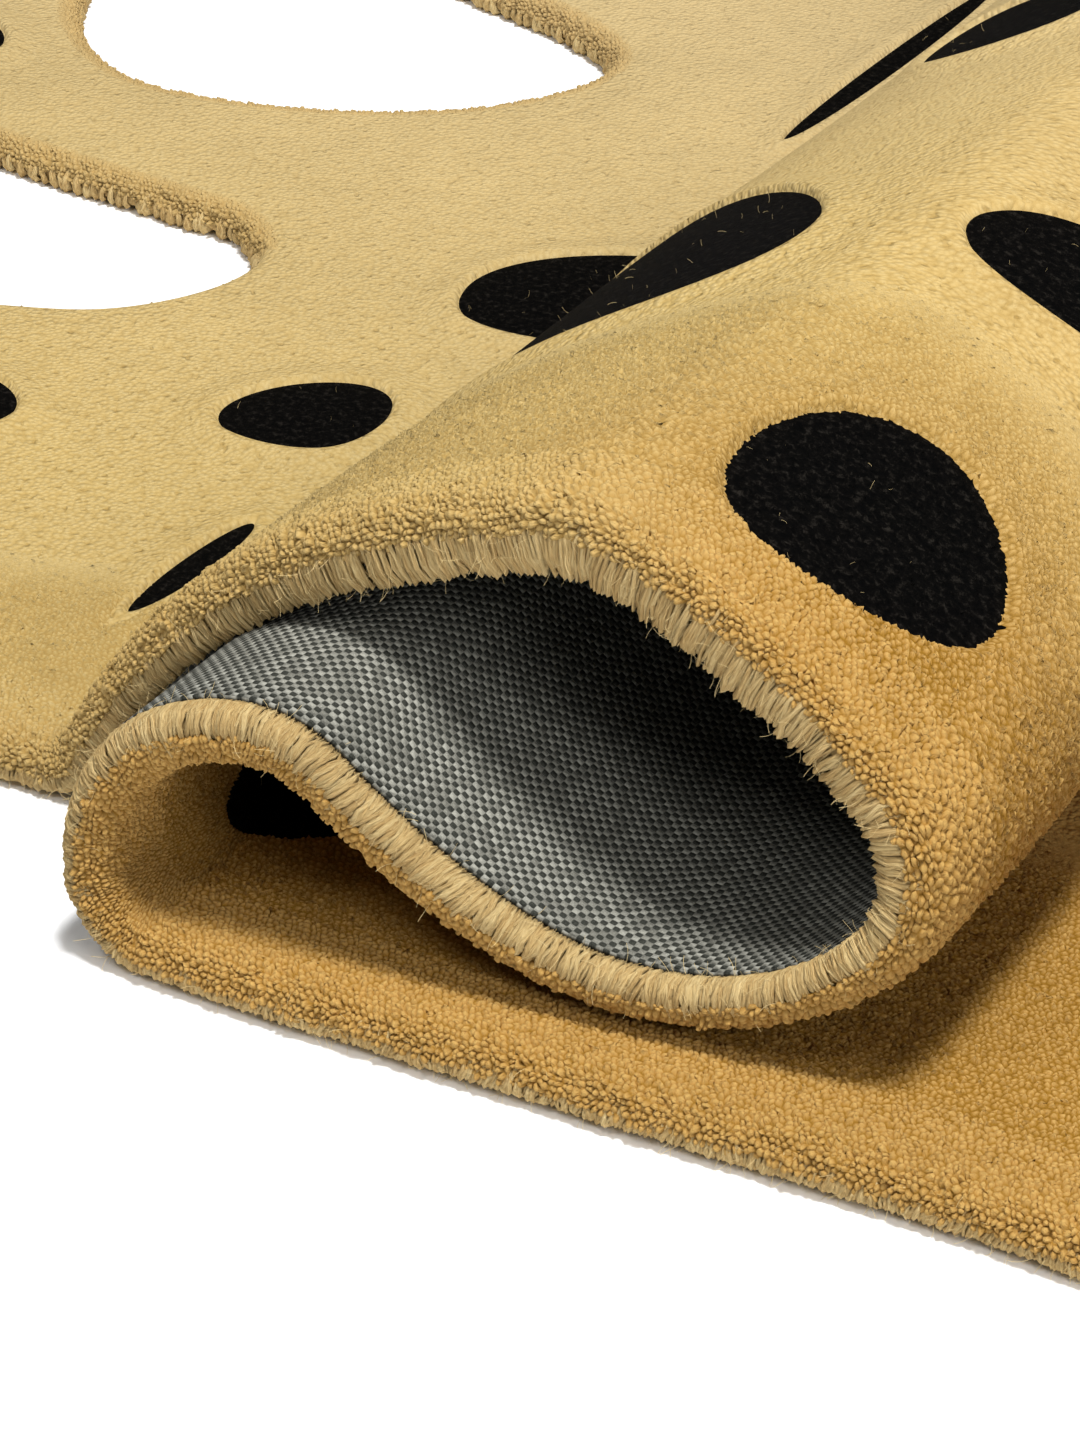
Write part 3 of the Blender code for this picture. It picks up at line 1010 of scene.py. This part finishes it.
def painted_shade_gold(tree, place):
    """Share of painted shade, as gold, where the eye looks into the pile: little on the tail side,
    fully by the shoulder.
    """
    along = node(tree, SPLIT, place, give="X")
    across = node(tree, SPLIT, place, give="Y")
    arch, near_edge, lower_layers = (
        node(tree, RANGE, way, *limits, interpolation_type="SMOOTHSTEP")
        for way, limits in (
            (along, GOLD_ALONG_ARCH),
            (across, GOLD_BY_NEAR_EDGE),
            (along, GOLD_ON_LOWER_LAYERS),
        )
    )
    arch = node(tree, MATH, arch, near_edge, operation="MULTIPLY")
    return node(tree, MATH, arch, lower_layers, operation="MAXIMUM")


def pile_colour(tree, place, depth, gold):
    """Tan wool at a depth below the fibre ends, between pale and golden: the darkening with depth
    and the gold are painted shade, the paler far part painted light.
    """
    across = node(tree, SPLIT, place, give="Y")
    # Painted light: the far part of the rug is mixed paler where less lamp light reaches it
    far = node(tree, RANGE, across, *FAR_PAINTED_LIGHT_SHARE)
    pale = node(tree, RAMP, depth, stops=TAN_PILE)
    pale = node(tree, MIX, far, pale, linear(FAR_PAINTED_LIGHT_PILE), data_type="RGBA")
    golden = node(tree, RAMP, depth, stops=SHADED_GOLDEN_PILE)
    colour = node(tree, MIX, gold, pale, golden, data_type="RGBA")
    # Scaled by painted light and shade of the brushed pile
    return node(tree, VECTORS, colour, brushed_light_and_shade(tree, place), operation="SCALE")


def tan_wool_tufts():
    """Cut wool pile, dyed tan, with painted shade: pale at the fibre ends, deep golden brown down
    in the gaps.
    """
    material, tree, surface = matt_material("tan_wool_tufts")
    gap, tone, spread = (
        node(tree, CARRIED, attribute_name=name, give="Fac") for name in ("gap", "tone", "spread")
    )
    place = node(tree, FLAT_PLACE, uv_map="flat")
    fibres = node(tree, NOISE, place, **FIBRE_ENDS)
    # Painted shade: darker down the gaps between tufts, plus random tone and fibre noise
    depth = weighted(tree, -0.40, (gap, 1.0), (tone, 0.35), (fibres, 0.7))
    contrast = weighted(tree, 0.62, (spread, -0.12))
    depth = node(tree, MATH, depth, contrast, operation="MULTIPLY", use_clamp=True)
    # More painted shade, as gold, where the tufts spread apart
    open_gold = node(tree, MATH, spread, 0.45, operation="MULTIPLY")
    gold = painted_shade_gold(tree, place)
    gold = node(tree, MATH, open_gold, gold, operation="MAXIMUM", use_clamp=True)
    bump = node(tree, BUMP, Height=fibres, Strength=0.8, Distance=0.0006)
    wire(surface, Base_Color=pile_colour(tree, place, depth, gold), Normal=bump)
    return material


def tan_wool_field():
    """The same pile where its tufts are too small to model: the crowns are a bump, with painted
    shade darkening the pile between them and in pits.
    """
    material, tree, surface = matt_material("tan_wool_field")
    place = node(tree, FLAT_PLACE, uv_map="flat")
    crowns = node(tree, "ShaderNodeTexVoronoi", place, Scale=1000.0 / TUFT_PITCH, Randomness=1.0)
    fibres = node(tree, NOISE, place, **FIBRE_CLUMPS)
    pits = node(tree, NOISE, place, **SHADED_PITS)
    pits = node(tree, RANGE, pits, 0.60, 0.74)
    # Painted shade: darker between the crowns and in the pits
    depth = weighted(tree, -0.42, (crowns, 0.55), (fibres, 0.8), (pits, 0.28))
    depth = node(tree, MATH, depth, 0.0, operation="MAXIMUM", use_clamp=True)
    height = weighted(tree, fibres, (depth, -1.2))
    bump = node(tree, BUMP, Height=height, Strength=0.85, Distance=0.0014)
    colour = pile_colour(tree, place, depth, painted_shade_gold(tree, place))
    wire(surface, Base_Color=colour, Normal=bump)
    return material


def black_wool():
    """Cut wool pile, dyed black: nearly no light comes back from it."""
    material, tree, surface = matt_material("black_wool")
    place = node(tree, FLAT_PLACE, uv_map="flat")
    fibres = node(tree, NOISE, place, **BLACK_CLUMPS)
    bump = node(tree, BUMP, Height=fibres, Strength=0.9, Distance=0.0014)
    colour = node(tree, RAMP, fibres, stops=BLACK_PILE)
    wire(surface, Base_Color=colour, Normal=bump, Specular_IOR_Level=BLACK_SPECULAR)
    return material


def combed_wool():
    """The long sides of the outermost yarns: paler, their fibres lying along the yarn."""
    material, tree, surface = matt_material("combed_wool")
    place = node(tree, FLAT_PLACE, uv_map="flat")
    turned = node(
        tree, "ShaderNodeMapping", place, Rotation=(0.0, 0.0, 0.45), Scale=(4.2, 0.55, 1.0)
    )
    fibres = node(tree, NOISE, turned, **COMBED_FIBRES)
    tone = node(tree, CARRIED, attribute_name="tone", give="Fac")
    light = weighted(tree, -0.11, (fibres, 1.0), (tone, 0.22))
    # Loose yarn lets light through, so its round side shades less than its band
    band = node(tree, CARRIED, attribute_name="facing", give="Vector")
    band = node(tree, VECTORS, band, 1.6, operation="SCALE")
    own = node(tree, "ShaderNodeNewGeometry", give="Normal")
    both = node(tree, VECTORS, own, band, operation="ADD")
    both = node(tree, VECTORS, both, operation="NORMALIZE")
    bump = node(tree, BUMP, Height=fibres, Strength=0.8, Distance=0.0006, Normal=both)
    wire(surface, Base_Color=node(tree, RAMP, light, stops=LONG_SIDES), Normal=bump)
    return material


def stray_wool():
    """Single wool fibres standing off the pile: pale, they catch the light."""
    material, _, surface = matt_material("stray_wool")
    wire(surface, Base_Color=linear(STRAY_FIBRES))
    return material


def woven_canvas():
    """Plain-woven backing: broad pale grey threads over thin charcoal ones."""
    material, tree, surface = matt_material("woven_canvas")
    place = node(tree, FLAT_PLACE, uv_map="flat")
    ripple = node(tree, NOISE, place, **CANVAS_RIPPLES)
    waves, cells = [], []
    for way, pitch in (("X", THREAD_U), ("Y", THREAD_V)):
        travel = node(tree, SPLIT, place, give=way)
        threads = weighted(tree, 0.0, (travel, 1000.0 / pitch), (ripple, 1.1))
        cells.append(node(tree, MATH, threads, operation="FLOOR"))
        angle = node(tree, MATH, threads, math.pi, operation="MULTIPLY")
        waves.append(node(tree, MATH, angle, operation="SINE"))
    weave = node(tree, MATH, *waves, operation="MULTIPLY")
    pale_on_top = node(tree, RANGE, weave, -0.17, 0.15)
    crossing = node(tree, "ShaderNodeCombineXYZ", *cells)
    each = node(tree, "ShaderNodeTexWhiteNoise", crossing)
    grain = node(tree, NOISE, place, **THREAD_GRAIN)
    light = weighted(tree, grain, (each, 0.5))
    pale = node(tree, RAMP, light, stops=PALE_THREADS)
    dark = node(tree, RAMP, grain, stops=DARK_THREADS)
    colour = node(tree, MIX, pale_on_top, dark, pale, data_type="RGBA")
    relief = node(tree, MATH, weave, operation="ABSOLUTE")
    bump = node(tree, BUMP, Height=relief, Strength=0.8, Distance=0.0005)
    wire(surface, Base_Color=colour, Normal=bump)
    return material


FLOOR_REACH = 12.0
FLOOR_CORNERS = ((-1, -1), (1, -1), (1, 1), (-1, 1))


def plain_floor():
    """A pale, matt studio floor."""
    material, _, surface = matt_material("studio_floor")
    wire(surface, Base_Color=linear(FLOOR))
    corners = [(x * FLOOR_REACH, y * FLOOR_REACH, 0.0) for x, y in FLOOR_CORNERS]
    mesh = bpy.data.meshes.new("floor")
    mesh.from_pydata(corners, [], [(0, 1, 2, 3)])
    mesh.materials.append(material)
    floor = bpy.data.objects.new("floor", mesh)
    bpy.context.scene.collection.objects.link(floor)


LIGHTS = (
    # name, place, size, power
    ("overhead", (0.38, -0.54, 2.55), 0.45, 92.0),
    ("front", (-0.50, -1.62, 2.17), 0.60, 14.0),
    ("right", (1.85, -1.45, 1.30), 0.80, 22.0),
)
SKY_STRENGTH = 0.10
LIT_PLACE = (-0.05, -0.25, 0.05)


def lights():
    """A main light overhead, weaker ones in front and on the right, and dim air."""
    world = bpy.data.worlds.new("studio")
    world.use_nodes = True
    wire(world.node_tree.nodes["Background"], linear(SKY), SKY_STRENGTH)
    bpy.context.scene.world = world
    for name, place, size, power in LIGHTS:
        light = bpy.data.lights.new(name, "AREA")
        light.size = size
        light.energy = power
        lamp = bpy.data.objects.new(name, light)
        lamp.location = place
        aim = Vector(LIT_PLACE) - Vector(place)
        lamp.rotation_euler = aim.to_track_quat("-Z", "Y").to_euler()
        bpy.context.scene.collection.objects.link(lamp)


def camera():
    """The camera at the photo's angle."""
    near_x = float(course_x(np.array([NEAR_POINT_U]))[0]) + SHIFT_X
    near = Vector((near_x, SHIFT_Y, 0.0)) * MM
    data = bpy.data.cameras.new("camera")
    data.sensor_width = 36.0
    data.lens = CAMERA_LENS
    data.clip_end = 50.0
    viewer = bpy.data.objects.new("camera", data)
    viewer.location = near + Vector(CAMERA_FROM_NEAR_POINT) * MM
    viewer.rotation_euler = (math.radians(90.0 - CAMERA_PITCH), 0.0, math.radians(CAMERA_TURN))
    bpy.context.scene.collection.objects.link(viewer)
    bpy.context.scene.camera = viewer


def inset_outline(inset):
    """The outline moved inwards."""
    return OUTLINE + inward_normals(OUTLINE) * inset


# One fibre of length 1: its start, middle and end, its steps along and sides round, how far it
# may be turned each way, and how long it may be
FIBRE_ARC = ((0.0, 0.0, -0.15), (0.10, 0.05, 0.55), (0.65, 0.25, 0.90))
FIBRE_STEPS = 4
FIBRE_SIDES = 3
FIBRE_POINTS = (FIBRE_STEPS + 1) * FIBRE_SIDES
FIBRE_TILTS = ((-0.9, -0.9, 0.0), (0.9, 0.9, 2.0 * math.pi))
FIBRE_SIZES = (0.35, 1.25)


def fibre_tree():
    """Geometry nodes that strew single curved fibres over a piece."""
    tree = bpy.data.node_groups.new("strew_fibres", "GeometryNodeTree")
    for name, kind in (
        ("Geometry", "NodeSocketGeometry"),
        ("Fibres per square metre", "NodeSocketFloat"),
        ("Fibre length", "NodeSocketFloat"),
        ("Fibre thickness", "NodeSocketFloat"),
        ("Seed", "NodeSocketInt"),
        ("Fibre material", "NodeSocketMaterial"),
    ):
        tree.interface.new_socket(name, in_out="INPUT", socket_type=kind)
    tree.interface.new_socket("Geometry", in_out="OUTPUT", socket_type="NodeSocketGeometry")
    given = tree.nodes.new("NodeGroupInput").outputs
    length, seed = given["Fibre length"], given["Seed"]
    feet = node(
        tree,
        "GeometryNodeDistributePointsOnFaces",
        given["Geometry"],
        Density=given["Fibres per square metre"],
        Seed=seed,
    )
    arc = node(tree, "GeometryNodeCurveQuadraticBezier", FIBRE_STEPS, *FIBRE_ARC)
    radius = node(tree, MATH, given["Fibre thickness"], 0.5, operation="MULTIPLY")
    radius = node(tree, MATH, radius, length, operation="DIVIDE")
    girth = node(tree, "GeometryNodeCurvePrimitiveCircle", FIBRE_SIDES, radius)
    fibre = node(tree, "GeometryNodeCurveToMesh", arc, girth)
    random = "FunctionNodeRandomValue"
    tilt = node(tree, random, *FIBRE_TILTS, Seed=seed, data_type="FLOAT_VECTOR")
    turned = node(
        tree,
        "FunctionNodeRotateRotation",
        feet.node.outputs["Rotation"],
        tilt,
        rotation_space="LOCAL",
    )
    size = node(tree, random, *FIBRE_SIZES, Seed=seed, data_type="FLOAT")
    size = node(tree, MATH, size, length, operation="MULTIPLY")
    strewn = node(
        tree,
        "GeometryNodeInstanceOnPoints",
        feet,
        Instance=fibre,
        Rotation=turned,
        Scale=size,
    )
    real = node(tree, "GeometryNodeRealizeInstances", strewn)
    dyed = node(tree, "GeometryNodeSetMaterial", real, Material=given["Fibre material"])
    wire(tree.nodes.new("NodeGroupOutput"), dyed)
    return tree


def strewn_fibres(name, ground, tree, *settings):
    """A mesh of the fibres that a node tree strews over a piece, none below the floor.

    The settings are the tree's inputs after the geometry, in order.
    """
    carrier = bpy.data.objects.new(name + "_carrier", ground.data)
    bpy.context.scene.collection.objects.link(carrier)
    strew = carrier.modifiers.new("strew", "NODES")
    strew.node_group = tree
    inputs = [item for item in tree.interface.items_tree if item.in_out == "INPUT"]
    for item, value in zip(inputs[1:], settings):
        strew[item.identifier] = value
    carrier.update_tag()
    bpy.context.view_layer.update()
    seen = carrier.evaluated_get(bpy.context.evaluated_depsgraph_get())
    mesh = bpy.data.meshes.new_from_object(seen)
    mesh.name = name
    heights = np.array([point.co.z for point in mesh.vertices]).reshape(-1, FIBRE_POINTS)
    keep = np.repeat(heights.min(1) > 0.0, FIBRE_POINTS)
    above = bmesh.new()
    above.from_mesh(mesh)
    sunk = [point for point, kept in zip(above.verts, keep) if not kept]
    bmesh.ops.delete(above, geom=sunk, context="VERTS")
    above.to_mesh(mesh)
    above.free()
    carrier.modifiers.remove(strew)
    bpy.data.objects.remove(carrier)
    piece = bpy.data.objects.new(name, mesh)
    bpy.context.scene.collection.objects.link(piece)
    return piece


bpy.context.scene.view_settings.view_transform = "Standard"
camera()
lights()
plain_floor()

black = black_wool()
combed = combed_wool()
stray = stray_wool()

PILE_PROFILE = [
    # how far in from the outline, how high
    (
        EDGE_RADIUS - BODY_ARC * math.cos(math.radians(angle)),
        PILE_TOP - EDGE_RADIUS + BODY_ARC * math.sin(math.radians(angle)),
    )
    for angle in (90.0, 72.0, 54.0, 36.0, 18.0, 0.0)
] + [
    (0.9, 3.6),
    (1.8, 2.4),
    (3.6, 1.8),
    (EDGE_RADIUS, PILE_LOW),
]
pile = layered_sheet(
    "pile_ground", inset_outline(EDGE_RADIUS), PILE_PROFILE, [tan_wool_field(), combed], 5
)
CANVAS_PROFILE = (
    (CANVAS_INSET, CANVAS_THICK),
    (CANVAS_INSET, 0.0),
)
canvas_cut = inset_outline(CANVAS_INSET)
canvas = layered_sheet("canvas_back", canvas_cut, CANVAS_PROFILE, [woven_canvas()])
near_tufts = tufts([tan_wool_tufts(), black])
spots = ringed_patches("black_spots", black, True)
collars = ringed_patches("spot_collars", pile.data.materials[0], False)
near_yarns = edge_yarns("edge_yarns_near", combed, True, YARN_PITCH, SEED + 2)
far_yarns = edge_yarns("edge_yarns_far", combed, False, FAR_YARN_PITCH, SEED + 3)
for piece in (near_yarns, far_yarns):
    face_outwards(piece)

strew = fibre_tree()
fringe, lint = (
    strewn_fibres(name, ground, strew, *settings, stray)
    for name, ground, *settings in (
        # piece, what it grows on, fibres per square metre, length, thickness, seed
        ("stray_fibres", near_yarns, 42000.0, 0.0036, 0.00008, SEED),
        ("lint_on_spots", spots, 4200.0, 0.0017, 0.00007, SEED + 1),
    )
)

for piece, slot, node_name in (
    [(pile, "tan_wool", "pile"), (canvas, "grey_canvas", "canvas"), (spots, "black_wool", "pile")]
    + [(piece, "tan_wool", "pile") for piece in near_tufts]
    + [(piece, "tan_wool", "pile") for piece in (collars, near_yarns, far_yarns, fringe, lint)]
):
    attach(piece, "root")
    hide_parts(node_name)
